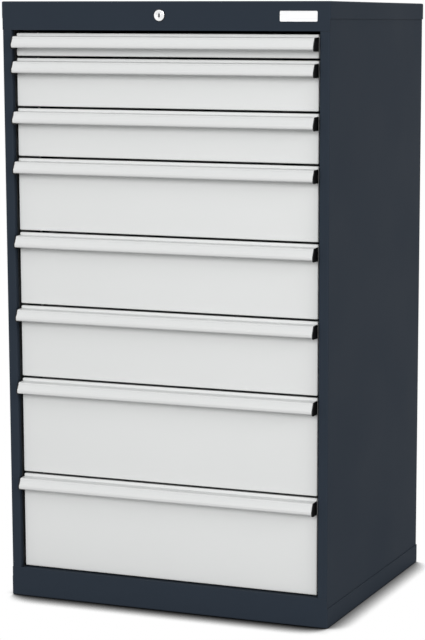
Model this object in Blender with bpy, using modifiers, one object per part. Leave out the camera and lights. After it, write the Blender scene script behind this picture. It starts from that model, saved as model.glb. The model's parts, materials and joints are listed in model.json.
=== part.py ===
"""Industrial drawer cabinet: folded steel housing, eight drawers on telescopic slides and one lock.

The origin is the middle of the footprint on the floor and the drawers open towards -Y. Lengths are metres.
The sizes come first, then the modelling helpers, and then one function for each sub-part.
"""

import math

import bmesh
import bpy
from mathutils import Matrix, Vector

# Housing
SLIDE_ROOM = 0.0418  # side panel's outer face to the drawer tray
ROOM_BEHIND_TRAY = 0.0863  # tray to the rear face of the side panels
MODULE = 0.050  # height step of the drawer fronts
DRAWER_MODULES = (1, 2, 2, 3, 3, 3, 4, 4)  # modules of each front, from the top drawer down
BASE_BAND = 0.060  # height of the base's front flange
BASE_MARGIN = 0.001  # base band to the lowest module line
TOP_MARGIN = 0.003  # highest module line to the top band
TOP_BAND = 0.0564  # height of the top cover's front flange
COVER_SKIRT = 0.033  # side and rear flange of the top cover
BASE_SKIRT = 0.0395  # side and rear flange of the base
SHEET = 0.0012
FOLD_RADIUS = 0.0025
FOLD_STEPS = 2
SEAT = 0.0003  # gap between pieces that rest on each other
MERGE = 0.00001  # points nearer than this are one point
OVERRUN = 0.002  # how far a cutter reaches past the metal it cuts
BAND_LIP = 0.022  # depth of the inward lip along each band
LIP_SETBACK = 0.0005  # lip to the edge of its band
LIP_END = 0.002  # lip end to the stile
STILE = 0.020  # face width of the side panel's front fold
STILE_RETURN = 0.011
REAR_FLANGE = 0.022
BEAD_DEPTH = 0.004
BEAD_WIDTH = 0.024
BEAD_PLACE_SHARES = (-0.3, 0.0, 0.3)  # places of the back panel's beads, of its width
BACK_SIDE_GAP = 0.0023  # back panel edge to the side panel's skin
BOTTOM_DROP = 0.004  # top of the bottom panel below the base band
BOTTOM_SETBACK = 0.002  # bottom panel behind the base's lip

# Runner frames
POST_SHEET = 0.0015
POST_DEPTH = 0.030  # length of a post's section along Y
POST_FACE = 0.0195  # side panel's outer face to the post's inner face
FRONT_POST_SETBACK = 0.014  # frame face to the front post
REAR_POST_SETBACK = 0.040  # rear of the side panels to the rear post
SLOT_WIDTH = 0.003
SLOT_HEIGHT = 0.009
RAIL_HEIGHT = 0.032
RAIL_SHEET = 0.0016
RAIL_LIP = 0.005
RAIL_WELD = 0.0004  # how far a rail's web is let into the sheet that carries it
RAIL_SPLIT = 0.0015  # gap between the lips of the cabinet rail and the drawer rail
RAIL_RUN = 0.0003  # running clearance of the middle rail
MIDDLE_FLANGE = 0.002
MIDDLE_WEB = 0.002
RAIL_RISE = 0.0065  # module line to the underside of the rails
RAIL_SETBACK = 0.0018  # tray front to the front end of the drawer rail
CABINET_RAIL_TAIL = 0.002  # cabinet rail end before the rear face of the rear post
MIDDLE_SHORTER = 0.001  # middle rail behind the front end of the drawer rail

# Drawers
TRAY_INSIDE_WIDTH = 0.612
TRAY_INSIDE_DEPTH = 0.459
TRAY_SHEET = 0.0012
TRAY_RISE = 0.006  # module line to the tray's underside
TRAY_DROP = 0.011  # tray rim below the module line above it
DIVIDER_PITCH = 0.051  # between the divider slots of the tray's side walls
DIVIDER_SLOT_WIDTH = 0.003
DIVIDER_SLOT_FOOT = 0.006  # drawer rail to the slots above it
DIVIDER_SLOT_DROP = 0.010  # tray rim to the top of the slots
FRONT_SIDE_GAP = 0.0054  # stile to the front
FRONT_THICKNESS = 0.012
FRONT_RECESS = 0.010  # front face behind the frame face
FRONT_FOOT = 0.0018  # lower edge of a front above its module line
FRONT_GAP = 0.0044  # between one front and the next
TOP_FRONT_GAP = 0.006  # top band to the top drawer's front
FRONT_RADIUS = 0.0025
FRONT_RETURN = 0.024  # inward flange down each side of the front, on the tray's front wall
EAR_LENGTH = 0.008
EAR_RISE = 0.009  # ear above the tray rim
EAR_ROOT = 0.006  # ear let into the wall below the rim
EAR_THINNING = 0.0001  # ear face to wall face, on each side

# Handle profile, measured out from the front's face and down from its top edge
HANDLE_TOP_DROP = 0.0055
HANDLE_CORNER_REACH = 0.0188
HANDLE_CORNER_DROP = 0.0066
HANDLE_CORNER_RADIUS = 0.0027
HANDLE_BELLY_DROP = 0.0245  # where the slanted face turns upright
HANDLE_BELLY_RADIUS = 0.012
HANDLE_LIP_REACH = 0.0265
HANDLE_LIP_DROP = 0.0315
HANDLE_LIP_RADIUS = 0.004
HANDLE_LIP_DEPTH = 0.007
HANDLE_WALL = 0.002
HANDLE_FLANGE_DROP = 0.0265
GROOVE_TOP = 0.0105  # label groove in the slanted face
GROOVE_FOOT = 0.0210
GROOVE_DEPTH = 0.0005
CAP_THICKNESS = 0.002
CAP_PROUD = 0.0002  # end cap past the outside of the profile
CAP_LAP = 0.0006  # end cap over the end of the profile
CAP_FOOT_DROP = 0.0334
CAP_FOOT_RADIUS = 0.005
BEND_STEPS = 4  # straight steps in each rounded corner

# Central lock
LOCK_X = -0.0035
LOCK_RISE = 0.0291  # lock axis above the lower edge of the top band
ESCUTCHEON_RADIUS = 0.012
ESCUTCHEON_PROUD = 0.0025
ESCUTCHEON_CHAMFER = 0.0008
BARREL_RADIUS = 0.009
BARREL_LENGTH = 0.024
CORE_RADIUS = 0.0057
CORE_RECESS = 0.0004  # core face behind the escutcheon face
KEYHOLE_WIDTH = 0.0018
KEYHOLE_HEIGHT = 0.007
KEYHOLE_DEPTH = 0.008
CAM_THICKNESS = 0.0025
CAM_HUB_RADIUS = 0.008
CAM_TIP_RADIUS = 0.005
CAM_THROW = 0.015  # lock axis to the cam's pin
PIN_RADIUS = 0.0025
SLIDE_THICKNESS = 0.0025
SLIDE_HEIGHT = 0.020
SLIDE_WINDOW_HALF_WIDTH = 0.007
SLIDE_WINDOW_MARGIN = 0.005  # metal round the window
SLIDE_PIN_CLEARANCE = 0.0006
SLIDE_TAIL = 0.008  # slide past the centre of the bar's pin
CAM_PIN_END = 0.0025  # cam's pin past the rear of the slide
GUIDE_WIDTH = 0.012
GUIDE_SHEET = 0.002
GUIDE_PLACE_SHARES = (0.24, 0.81)  # places of the two guides, of the way from the bar's pin to the lock
BAR_THICKNESS = 0.003
BAR_DEPTH = 0.012
BAR_INSET = 0.013  # side panel's outer face to the bar
BAR_FOOT = 0.050  # bar's lower end above the lowest module line
BAR_PIN_INSET = 0.049  # side panel's outer face to the bar's pin
BAR_DROP = 0.008  # travel of the bar from unlocked to locked
BAR_PIN_END = 0.002  # bar's pin past the front of the slide
ARM_SETBACK = 0.0001  # arm behind the bar's front edge
ARM_PAST_PIN = 0.008  # arm past the centre of its pin
FINGER_PAST_EAR = 0.006
FINGER_BACK = 0.0205  # bar's front edge to the finger's rear edge
FINGER_LENGTH = 0.016
FINGER_GAP = 0.0015  # finger to the ear behind it when locked
ROUND_STEPS = 24

# Places that follow from the sizes
TRAY_HALF = TRAY_INSIDE_WIDTH / 2 + TRAY_SHEET
TRAY_FRONT = FRONT_THICKNESS + SEAT  # behind the front's face
TRAY_REAR = TRAY_FRONT + TRAY_INSIDE_DEPTH + 2 * TRAY_SHEET
WIDTH = 2 * (TRAY_HALF + SLIDE_ROOM)  # over the side panels
DEPTH = FRONT_RECESS + TRAY_REAR + ROOM_BEHIND_TRAY  # frame face to the rear face of the side panels
HEIGHT = BASE_BAND + BASE_MARGIN + MODULE * sum(DRAWER_MODULES) + TOP_MARGIN + TOP_BAND
FRONT_WIDTH = WIDTH - 2 * (STILE + FRONT_SIDE_GAP)
WRAP = SEAT + SHEET  # what the cover and the base add outside the side panels
HANDLE_OUT = HANDLE_LIP_REACH + CAP_PROUD - FRONT_RECESS  # handle past the frame face
FRONT = -(DEPTH + WRAP - HANDLE_OUT) / 2  # y of the frame face
BACK = FRONT + DEPTH
TOP_EDGE = HEIGHT - TOP_BAND
POST_OUTER = SHEET + SEAT
FRONT_POST = FRONT + FRONT_POST_SETBACK
REAR_POST = BACK - REAR_POST_SETBACK - POST_DEPTH
DRAWER_Y = FRONT + FRONT_RECESS
CABINET_WEB = POST_FACE + RAIL_SHEET - RAIL_WELD  # inner face of the cabinet rail's web
DRAWER_WEB = SLIDE_ROOM - RAIL_SHEET + RAIL_WELD
RAIL_MIDDLE = (CABINET_WEB + DRAWER_WEB) / 2
RAIL_FRONT = TRAY_FRONT + RAIL_SETBACK
LOCK_Z = TOP_EDGE + LOCK_RISE
CAM_FRONT = FRONT + BARREL_LENGTH + SEAT
SLIDE_FRONT = CAM_FRONT + CAM_THICKNESS + SEAT
BAR_FRONT = FRONT_POST + POST_DEPTH + SEAT
FINGER_REAR = BAR_FRONT + FINGER_BACK
BAR_PIN_X = BAR_PIN_INSET - WIDTH / 2
BAR_PIN_Z = LOCK_Z + BAR_DROP / 2
PARTS = "industrial_drawer_cabinet"
CUTTERS = "cabinet_cutters"


def module_lines():
    """Heights of the lines between drawers, from the top of the top drawer to the foot of the lowest."""
    height = TOP_EDGE - TOP_MARGIN
    lines = [height]
    for modules in DRAWER_MODULES:
        height -= modules * MODULE
        lines.append(height)
    return lines


LINES = module_lines()


# Scene and materials


def clear_scene():
    for obj in list(bpy.data.objects):
        bpy.data.objects.remove(obj, do_unlink=True)


def new_collection(name):
    collection = bpy.data.collections.new(name)
    bpy.context.scene.collection.children.link(collection)
    return collection


def material(name, colour, roughness, metallic):
    made = bpy.data.materials.new(name)
    made.use_nodes = True
    shader = made.node_tree.nodes["Principled BSDF"]
    shader.inputs["Base Color"].default_value = (*colour, 1)
    shader.inputs["Roughness"].default_value = roughness
    shader.inputs["Metallic"].default_value = metallic
    made.diffuse_color = (*colour, 1)
    return made


def link(name, mesh, collection=PARTS):
    obj = bpy.data.objects.new(name, mesh)
    bpy.data.collections[collection].objects.link(obj)
    return obj


def empty(name, place=(0, 0, 0)):
    obj = link(name, None)
    obj.location = place
    return obj


def finish(obj, paint, parent, place=(0, 0, 0)):
    """Gives a piece its material, its parent and its place under that parent."""
    obj.data.materials.clear()
    obj.data.materials.append(bpy.data.materials[paint])
    obj.parent = parent
    obj.location = place
    return obj


# Shapes


def add_box(form, low, high):
    """A box between two corners, added to a bmesh."""
    low, high = Vector(low), Vector(high)
    made = bmesh.ops.create_cube(form, size=1)
    for vert in made["verts"]:
        vert.co = Vector(b if side > 0 else a for a, b, side in zip(low, high, vert.co))
    return made["verts"]


def mesh_of(form, name):
    mesh = bpy.data.meshes.new(name)
    form.to_mesh(mesh)
    form.free()
    return mesh


def boxes(name, spans, collection=PARTS):
    """One object that holds a box for each pair of corners."""
    form = bmesh.new()
    for low, high in spans:
        add_box(form, low, high)
    return link(name, mesh_of(form, name), collection)


def side_span(side, near, far):
    """The x range between two distances inwards from the outer face of a side panel."""
    return sorted(side * (WIDTH / 2 - inset) for inset in (near, far))


def open_box(name, low, high, axis, sign):
    """A box without the face that lies on one end of an axis."""
    form = bmesh.new()
    add_box(form, low, high)
    form.normal_update()
    left_out = [face for face in form.faces if round(face.normal[axis]) == sign]
    bmesh.ops.delete(form, geom=left_out, context="FACES_ONLY")
    return link(name, mesh_of(form, name))


def ribbons(name, paths, low, high, outside_left):
    """Upright sheets that follow paths in plan, with their outside on the left or right of the path."""
    form = bmesh.new()
    for path in paths:
        feet = [form.verts.new((x, y, low)) for x, y in path]
        heads = [form.verts.new((x, y, high)) for x, y in path]
        for i in range(len(path) - 1):
            corners = (feet[i + 1], feet[i], heads[i], heads[i + 1])
            form.faces.new(corners if outside_left else corners[::-1])
    return link(name, mesh_of(form, name))


def fold(obj, radius):
    rounded = obj.modifiers.new("fold", "BEVEL")
    rounded.width = radius
    rounded.segments = FOLD_STEPS
    rounded.limit_method = "ANGLE"


def thicken(obj, sheet):
    solid = obj.modifiers.new("sheet", "SOLIDIFY")
    solid.thickness = sheet
    solid.offset = -1
    solid.use_even_offset = True


def rounded(corners):
    """A path through points of reach and drop, each bent to the radius that stands third."""
    path = []
    for i, (reach, drop, radius) in enumerate(corners):
        corner = Vector((reach, drop))
        if not radius:
            path.append(corner)
            continue
        back = (Vector(corners[i - 1][:2]) - corner).normalized()
        ahead = (Vector(corners[i + 1][:2]) - corner).normalized()
        half_angle = back.angle(ahead) / 2
        centre = corner + (back + ahead).normalized() * radius / math.sin(half_angle)
        start = corner + back * radius / math.tan(half_angle) - centre
        end = corner + ahead * radius / math.tan(half_angle) - centre
        turn = start.angle_signed(end)
        for step in range(BEND_STEPS + 1):
            path.append(centre + Matrix.Rotation(-turn * step / BEND_STEPS, 2) @ start)
    return path


def inset(path, depth):
    """The path moved inwards by a wall's thickness, with its corners kept."""
    steps = [(after - before).normalized() for before, after in zip(path, path[1:])]
    moved = []
    for point, before, after in zip(path, [steps[0]] + steps, steps + [steps[-1]]):
        across = Vector((-before.y - after.y, before.x + after.x))
        moved.append(point + across * 2 * depth / across.length_squared)
    return moved


def profiles(name, outlines, plane, start, end):
    """Closed outlines extruded along the axis across their plane, from start to end."""
    curve = bpy.data.curves.new(name, "CURVE")
    curve.dimensions = "2D"
    curve.fill_mode = "BOTH"
    curve.extrude = (end - start) / 2
    for outline in outlines:
        spline = curve.splines.new("POLY")
        spline.points.add(len(outline) - 1)
        for point, (across, up) in zip(spline.points, outline):
            point.co = (across, up, 0, 1)
        spline.use_cyclic_u = True
    drawn = link(name, curve)
    middle = (start + end) / 2
    drawn.matrix_world = {
        "XZ": Matrix(((1, 0, 0, 0), (0, 0, -1, middle), (0, 1, 0, 0), (0, 0, 0, 1))),
        "YZ": Matrix(((0, 0, 1, middle), (1, 0, 0, 0), (0, 1, 0, 0), (0, 0, 0, 1))),
    }[plane]
    return meshed(drawn)


def meshed(drawn):
    """A mesh object in place of a curve object, with its caps joined to its sides."""
    bpy.context.view_layer.update()
    mesh = bpy.data.meshes.new_from_object(drawn.evaluated_get(bpy.context.evaluated_depsgraph_get()))
    name, place = drawn.name, drawn.matrix_world.copy()
    bpy.data.objects.remove(drawn)
    mesh.transform(place)
    form = bmesh.new()
    form.from_mesh(mesh)
    bmesh.ops.remove_doubles(form, verts=form.verts, dist=MERGE)
    bmesh.ops.recalc_face_normals(form, faces=form.faces)
    form.to_mesh(mesh)
    form.free()
    return link(name, mesh)


def turned(name, profile):
    """A profile of radius and y, from front to back, turned round the Y axis."""
    mesh = bpy.data.meshes.new(name)
    count = len(profile)
    points = [(radius, y, 0) for radius, y in profile]
    mesh.from_pydata(points, [(i, (i + 1) % count) for i in range(count)], [])
    obj = link(name, mesh)
    screw = obj.modifiers.new("turn", "SCREW")
    screw.axis = "Y"
    screw.steps = screw.render_steps = ROUND_STEPS
    screw.use_merge_vertices = True
    screw.merge_threshold = MERGE
    screw.use_normal_calculate = True
    return obj


def rod(name, radius, front, back, x=0, z=0, collection=PARTS):
    """A cylinder along Y."""
    form = bmesh.new()
    bmesh.ops.create_cone(
        form, cap_ends=True, segments=ROUND_STEPS, radius1=radius, radius2=radius, depth=back - front
    )
    turn = Matrix.Rotation(math.pi / 2, 4, "X")
    bmesh.ops.transform(form, matrix=turn, verts=form.verts)
    bmesh.ops.translate(form, vec=(x, (front + back) / 2, z), verts=form.verts)
    return link(name, mesh_of(form, name), collection)


def combine(obj, other, operation):
    """A Boolean with another object, which then stays in the collection of cutters."""
    for collection in list(other.users_collection):
        collection.objects.unlink(other)
    bpy.data.collections[CUTTERS].objects.link(other)
    other.hide_render = True
    other.display_type = "WIRE"
    boolean = obj.modifiers.new(other.name, "BOOLEAN")
    boolean.operation = operation
    boolean.object = other
    return obj


def cut(obj, other):
    return combine(obj, other, "DIFFERENCE")


def join(obj, other):
    return combine(obj, other, "UNION")


def baked(obj):
    """The mesh of a piece with its modifiers applied; the piece and its cutters go."""
    bpy.context.view_layer.update()
    mesh = bpy.data.meshes.new_from_object(obj.evaluated_get(bpy.context.evaluated_depsgraph_get()))
    helpers = [modifier.object for modifier in obj.modifiers if modifier.type == "BOOLEAN"]
    for helper in helpers:
        bpy.data.objects.remove(helper)
    mesh.name = obj.name
    bpy.data.objects.remove(obj)
    return mesh


def smooth(mesh):
    mesh.shade_smooth()
    mesh.set_sharp_from_angle(angle=math.radians(35))
    return mesh


# Housing


def banded_pan(name, closed, edge, skirt_edge):
    """A shallow pan round the housing; its front flange runs on as the band, with a lip along the edge."""
    up = 1 if edge > closed else -1
    outer = WIDTH / 2 + WRAP
    rear = BACK + WRAP
    low, high = sorted((closed, edge))
    pan = open_box(name, (-outer, FRONT, low), (outer, rear, high), 2, up)
    fold(pan, FOLD_RADIUS)
    thicken(pan, SHEET)
    low, high = sorted((skirt_edge, edge + up * OVERRUN))
    inside_front = FRONT + SHEET + SEAT
    half = outer + OVERRUN
    skirt = ((-half, inside_front, low), (half, rear + OVERRUN, high))
    cut(pan, boxes(name + "_skirt", [skirt]))
    ends = [
        ((a, FRONT - OVERRUN, low), (b, FRONT + STILE, high))
        for a, b in (side_span(side, -WRAP - OVERRUN, 0) for side in (-1, 1))
    ]
    cut(pan, boxes(name + "_ends", ends))
    lip_half = WIDTH / 2 - STILE - LIP_END
    low, high = sorted((edge - up * LIP_SETBACK, edge - up * (LIP_SETBACK + SHEET)))
    lip = boxes(name + "_lip", [((-lip_half, FRONT + SHEET / 2, low), (lip_half, FRONT + BAND_LIP, high))])
    return join(pan, lip)


def top_cover(housing):
    cover = banded_pan("top_cover", HEIGHT, TOP_EDGE, HEIGHT - COVER_SKIRT)
    front, rear = FRONT - OVERRUN, FRONT + SHEET + OVERRUN
    cut(cover, rod("lock_hole", BARREL_RADIUS + SEAT, front, rear, LOCK_X, LOCK_Z))
    finish(cover, "anthracite_paint", housing)


def base_plinth(housing):
    finish(banded_pan("base_plinth", 0, BASE_BAND, BASE_SKIRT), "anthracite_paint", housing)


def side_panel(name, side, housing):
    """Folded sheet: the stile's return, the stile, the skin and the rear flange."""
    outer, inner, flange = (side * (WIDTH / 2 - inset) for inset in (0, STILE, REAR_FLANGE))
    path = [(inner, FRONT + STILE_RETURN), (inner, FRONT), (outer, FRONT), (outer, BACK), (flange, BACK)]
    foot = FOLD_RADIUS + SEAT
    panel = ribbons(name, [path], foot, HEIGHT - foot, side < 0)
    fold(panel, FOLD_RADIUS)
    thicken(panel, SHEET)
    a, b = side_span(side, -OVERRUN, STILE + OVERRUN)
    behind_band = FRONT + FOLD_RADIUS + SEAT
    notches = [
        ((a, FRONT - OVERRUN, 0), (b, behind_band, BASE_BAND + SEAT)),
        ((a, FRONT - OVERRUN, TOP_EDGE - SEAT), (b, behind_band, HEIGHT)),
    ]
    cut(panel, boxes(name + "_notches", notches))
    finish(panel, "anthracite_paint", housing)


def back_panel(housing):
    """Flat sheet between the side panels, stiffened by upright beads pressed inwards."""
    half = WIDTH / 2 - SHEET - BACK_SIDE_GAP
    face = BACK - SHEET - SEAT
    path = [(-half, face)]
    for share in BEAD_PLACE_SHARES:
        middle = share * 2 * half
        path += [
            (middle - BEAD_WIDTH / 2, face),
            (middle - BEAD_WIDTH / 2 + BEAD_DEPTH, face - BEAD_DEPTH),
            (middle + BEAD_WIDTH / 2 - BEAD_DEPTH, face - BEAD_DEPTH),
            (middle + BEAD_WIDTH / 2, face),
        ]
    path.append((half, face))
    foot = SHEET + FOLD_RADIUS
    panel = ribbons("back_panel", [path], foot, HEIGHT - foot, True)
    thicken(panel, SHEET)
    finish(panel, "anthracite_paint", housing)


def bottom_panel(housing):
    """Inverted pan over the base, between the posts."""
    half = WIDTH / 2 - POST_FACE - SEAT
    rear = BACK - WRAP - BEAD_DEPTH - WRAP
    low = (-half, FRONT + BAND_LIP + BOTTOM_SETBACK, SHEET + SEAT)
    panel = open_box("bottom_panel", low, (half, rear, BASE_BAND - BOTTOM_DROP), 2, -1)
    thicken(panel, SHEET)
    finish(panel, "anthracite_paint", housing)


# Runner frames


def channel(web, end, bottom):
    """Outline of a lipped channel in x and z, from the outside of its web to the end of its flanges."""
    out = math.copysign(1, end - web)
    sheet = out * RAIL_SHEET
    top = bottom + RAIL_HEIGHT
    lower = [(web, bottom), (end, bottom), (end, bottom + RAIL_LIP), (end - sheet, bottom + RAIL_LIP)]
    lower += [(end - sheet, bottom + RAIL_SHEET), (web + sheet, bottom + RAIL_SHEET)]
    return lower + [(x, top - (z - bottom)) for x, z in reversed(lower)]


def runner_frame(name, side, housing):
    """A slotted front and rear post with the eight cabinet rails of one side."""
    near, far = (side * (WIDTH / 2 - inset) for inset in (POST_OUTER, POST_FACE))
    starts = (FRONT_POST, REAR_POST)
    paths = [[(near, y), (far, y), (far, y + POST_DEPTH), (near, y + POST_DEPTH)] for y in starts]
    foot = SHEET + SEAT
    posts = ribbons(name, paths, foot, HEIGHT - foot, side > 0)
    thicken(posts, POST_SHEET)
    a, b = side_span(side, POST_FACE - POST_SHEET - OVERRUN, POST_FACE + OVERRUN)
    between_rails = RAIL_RISE + (RAIL_HEIGHT + MODULE) / 2
    slots = []
    for start in starts:
        front, rear = (start + (POST_DEPTH + sign * SLOT_WIDTH) / 2 for sign in (-1, 1))
        for count in range(sum(DRAWER_MODULES)):
            low = LINES[-1] + count * MODULE + between_rails - SLOT_HEIGHT / 2
            slots.append(((a, front, low), (b, rear, low + SLOT_HEIGHT)))
    cut(posts, boxes(name + "_slots", slots))
    insets = (POST_FACE - RAIL_WELD, RAIL_MIDDLE - RAIL_SPLIT / 2)
    web, end = (side * (WIDTH / 2 - inset) for inset in insets)
    outlines = [channel(web, end, line + RAIL_RISE) for line in LINES[1:]]
    rear = REAR_POST + POST_DEPTH - CABINET_RAIL_TAIL
    join(posts, profiles(name + "_rails", outlines, "XZ", DRAWER_Y + RAIL_FRONT, rear))
    finish(posts, "zinc_plate", housing)


# Drawers


def divider_slots(rim):
    """Slots for dividers in both side walls, where a wall stands high enough above its rail."""
    low, high = RAIL_RISE + RAIL_HEIGHT + DIVIDER_SLOT_FOOT, rim - DIVIDER_SLOT_DROP
    if high < low + DIVIDER_SLOT_WIDTH:
        return []
    slots = []
    for side in (-1, 1):
        a, b = side_span(side, SLIDE_ROOM - OVERRUN, SLIDE_ROOM + TRAY_SHEET + OVERRUN)
        for count in range(1, round(TRAY_INSIDE_DEPTH / DIVIDER_PITCH)):
            middle = TRAY_FRONT + TRAY_SHEET + count * DIVIDER_PITCH
            front, rear = (middle + sign * DIVIDER_SLOT_WIDTH / 2 for sign in (-1, 1))
            slots.append(((a, front, low), (b, rear, high)))
    return slots


def tray_mesh(modules):
    """Folded tray with a drawer rail along each side and the ear that the locking bar holds."""
    rim = modules * MODULE - TRAY_DROP
    tray = open_box("tray", (-TRAY_HALF, TRAY_FRONT, TRAY_RISE), (TRAY_HALF, TRAY_REAR, rim), 2, 1)
    thicken(tray, TRAY_SHEET)
    rails = []
    for side in (-1, 1):
        insets = (SLIDE_ROOM + RAIL_WELD, RAIL_MIDDLE + RAIL_SPLIT / 2)
        web, end = (side * (WIDTH / 2 - inset) for inset in insets)
        rails.append(channel(web, end, RAIL_RISE))
    slots = divider_slots(rim)
    if slots:
        cut(tray, boxes("divider_slots", slots))
    join(tray, profiles("tray_rails", rails, "XZ", RAIL_FRONT, TRAY_REAR - RAIL_SETBACK))
    a, b = side_span(-1, SLIDE_ROOM + EAR_THINNING, SLIDE_ROOM + TRAY_SHEET - EAR_THINNING)
    start = FINGER_REAR + FINGER_GAP - DRAWER_Y
    ear = boxes("tray_ear", [((a, start, rim - EAR_ROOT), (b, start + EAR_LENGTH, rim + EAR_RISE))])
    return baked(join(tray, ear))


def front_span(number):
    """Lower and upper edge of a drawer's front above the drawer's own module line."""
    top = DRAWER_MODULES[number] * MODULE + FRONT_FOOT - FRONT_GAP
    if number == 0:
        top = TOP_EDGE - TOP_FRONT_GAP - LINES[1]
    return FRONT_FOOT, top


def front_mesh(number):
    """Folded pan, open at its rear but for a flange down each side."""
    low, high = front_span(number)
    half = FRONT_WIDTH / 2
    front = open_box("front", (-half, 0, low), (half, FRONT_THICKNESS, high), 1, 1)
    fold(front, FRONT_RADIUS)
    thicken(front, SHEET)
    face, margin = FRONT_THICKNESS - SHEET, SHEET / 2
    flanges = []
    for side in (-1, 1):
        a, b = sorted((side * (half - FRONT_RETURN), side * (half - margin)))
        flanges.append(((a, face, low + margin), (b, FRONT_THICKNESS, high - margin)))
    return smooth(baked(join(front, boxes("front_flanges", flanges))))


def sunk_face_point(drop, depth):
    """A point of the handle's slanted face, sunk square to it."""
    out, down = HANDLE_LIP_REACH - HANDLE_CORNER_REACH, HANDLE_BELLY_DROP - HANDLE_CORNER_DROP
    reach = HANDLE_CORNER_REACH + out * (drop - HANDLE_CORNER_DROP) / down
    inwards = Vector((-down, out)).normalized() * depth
    return (reach + inwards.x, drop + inwards.y, 0)


def handle_mesh():
    """Hook-shaped profile with a flange on the front, a label groove and a round lip, and its end caps."""
    upper = [
        (SEAT, HANDLE_FLANGE_DROP, 0),
        (SEAT, HANDLE_TOP_DROP, 0),
        (HANDLE_CORNER_REACH, HANDLE_CORNER_DROP, HANDLE_CORNER_RADIUS),
    ]
    lower = [
        (HANDLE_LIP_REACH, HANDLE_BELLY_DROP, HANDLE_BELLY_RADIUS),
        (HANDLE_LIP_REACH, HANDLE_LIP_DROP, HANDLE_LIP_RADIUS),
        (HANDLE_LIP_REACH - HANDLE_LIP_DEPTH, HANDLE_LIP_DROP, 0),
    ]
    groove = [sunk_face_point(GROOVE_TOP, depth) for depth in (0, GROOVE_DEPTH)]
    groove += [sunk_face_point(GROOVE_FOOT, depth) for depth in (GROOVE_DEPTH, 0)]
    outline = rounded(upper + groove + lower) + inset(rounded(upper + lower), HANDLE_WALL)[::-1]
    half = FRONT_WIDTH / 2
    inner_end = half - CAP_THICKNESS + CAP_LAP
    points = [(-reach, -drop) for reach, drop in outline]
    handle = profiles("handle", [points], "YZ", -inner_end, inner_end)
    outside = HANDLE_LIP_REACH + CAP_PROUD
    cap = rounded(
        [
            (SEAT, HANDLE_TOP_DROP - CAP_PROUD, 0),
            (HANDLE_CORNER_REACH + CAP_PROUD, HANDLE_CORNER_DROP - CAP_PROUD, HANDLE_CORNER_RADIUS),
            (outside, HANDLE_BELLY_DROP, HANDLE_BELLY_RADIUS),
            (outside, CAP_FOOT_DROP, CAP_FOOT_RADIUS),
            (SEAT, CAP_FOOT_DROP, 0),
        ]
    )
    points = [(-reach, -drop) for reach, drop in cap]
    for side in (-1, 1):
        start, end = sorted((side * half, side * (half - CAP_THICKNESS)))
        name = "handle_cap_" + ("left" if side < 0 else "right")
        join(handle, profiles(name, [points], "YZ", start, end))
    return smooth(baked(handle))


def middle_rail_mesh(side):
    """Rail of H section that runs in the cabinet rail and in the drawer rail."""
    insets = (CABINET_WEB + RAIL_RUN, DRAWER_WEB - RAIL_RUN)
    outer, inner = (side * (WIDTH / 2 - inset) for inset in insets)
    step = math.copysign(MIDDLE_FLANGE, inner - outer)
    low = RAIL_RISE + RAIL_SHEET + RAIL_RUN
    high = RAIL_RISE + RAIL_HEIGHT - RAIL_SHEET - RAIL_RUN
    web_low, web_high = ((low + high + sign * MIDDLE_WEB) / 2 for sign in (-1, 1))
    outline = [(outer, low), (outer + step, low), (outer + step, web_low), (inner - step, web_low)]
    outline += [(inner - step, low), (inner, low), (inner, high), (inner - step, high)]
    outline += [(inner - step, web_high), (outer + step, web_high), (outer + step, high), (outer, high)]
    start, end = RAIL_FRONT + MIDDLE_SHORTER, TRAY_REAR - RAIL_SETBACK - MIDDLE_SHORTER
    return baked(profiles("middle_rail", [outline], "XZ", start, end))


def drawers():
    """Eight drawers, each a tray, a front and a handle, with a pair of middle rails of their own."""
    handle = handle_mesh()
    rails = {name: middle_rail_mesh(side) for name, side in (("left", -1), ("right", 1))}
    trays = {modules: tray_mesh(modules) for modules in sorted(set(DRAWER_MODULES))}
    for number, modules in enumerate(DRAWER_MODULES):
        name = "drawer_" + str(number + 1)
        place = (0, DRAWER_Y, LINES[number + 1])
        drawer = empty(name, place)
        finish(link(name + "_tray", trays[modules]), "tray_paint", drawer)
        finish(link(name + "_front", front_mesh(number)), "light_grey_paint", drawer)
        finish(link(name + "_handle", handle), "handle_profile", drawer, (0, 0, front_span(number)[1]))
        carriage = empty(name + "_slides", place)
        for side, rail in rails.items():
            finish(link(name + "_middle_rail_" + side, rail), "rail_zinc", carriage)


# Central lock


def lock_body(housing):
    """Barrel through the top band behind a round escutcheon, with the bore of the core."""
    face = -ESCUTCHEON_PROUD
    bore = CORE_RADIUS + SEAT
    body = turned(
        "lock_body",
        [
            (bore, face),
            (ESCUTCHEON_RADIUS - ESCUTCHEON_CHAMFER, face),
            (ESCUTCHEON_RADIUS, face + ESCUTCHEON_CHAMFER),
            (ESCUTCHEON_RADIUS, -SEAT),
            (BARREL_RADIUS, -SEAT),
            (BARREL_RADIUS, BARREL_LENGTH),
            (bore, BARREL_LENGTH),
        ],
    )
    finish(body, "chrome", housing, (LOCK_X, FRONT, LOCK_Z))


def lock_core(turning):
    """Plug that the key turns, with its keyhole."""
    face = CORE_RECESS - ESCUTCHEON_PROUD
    core = rod("lock_core", CORE_RADIUS, face, BARREL_LENGTH)
    half_width, half_height = KEYHOLE_WIDTH / 2, KEYHOLE_HEIGHT / 2
    low = (-half_width, face - OVERRUN, -half_height)
    keyhole = boxes("keyhole", [(low, (half_width, face + KEYHOLE_DEPTH, half_height))])
    keyhole.parent = turning
    finish(cut(core, keyhole), "chrome", turning)


def arc(centre, radius, start, end, steps):
    """Points of an arc in x and z, with angles in degrees."""
    angles = [math.radians(start + (end - start) * i / steps) for i in range(steps + 1)]
    return [(centre[0] + radius * math.cos(a), centre[1] + radius * math.sin(a)) for a in angles]


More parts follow.
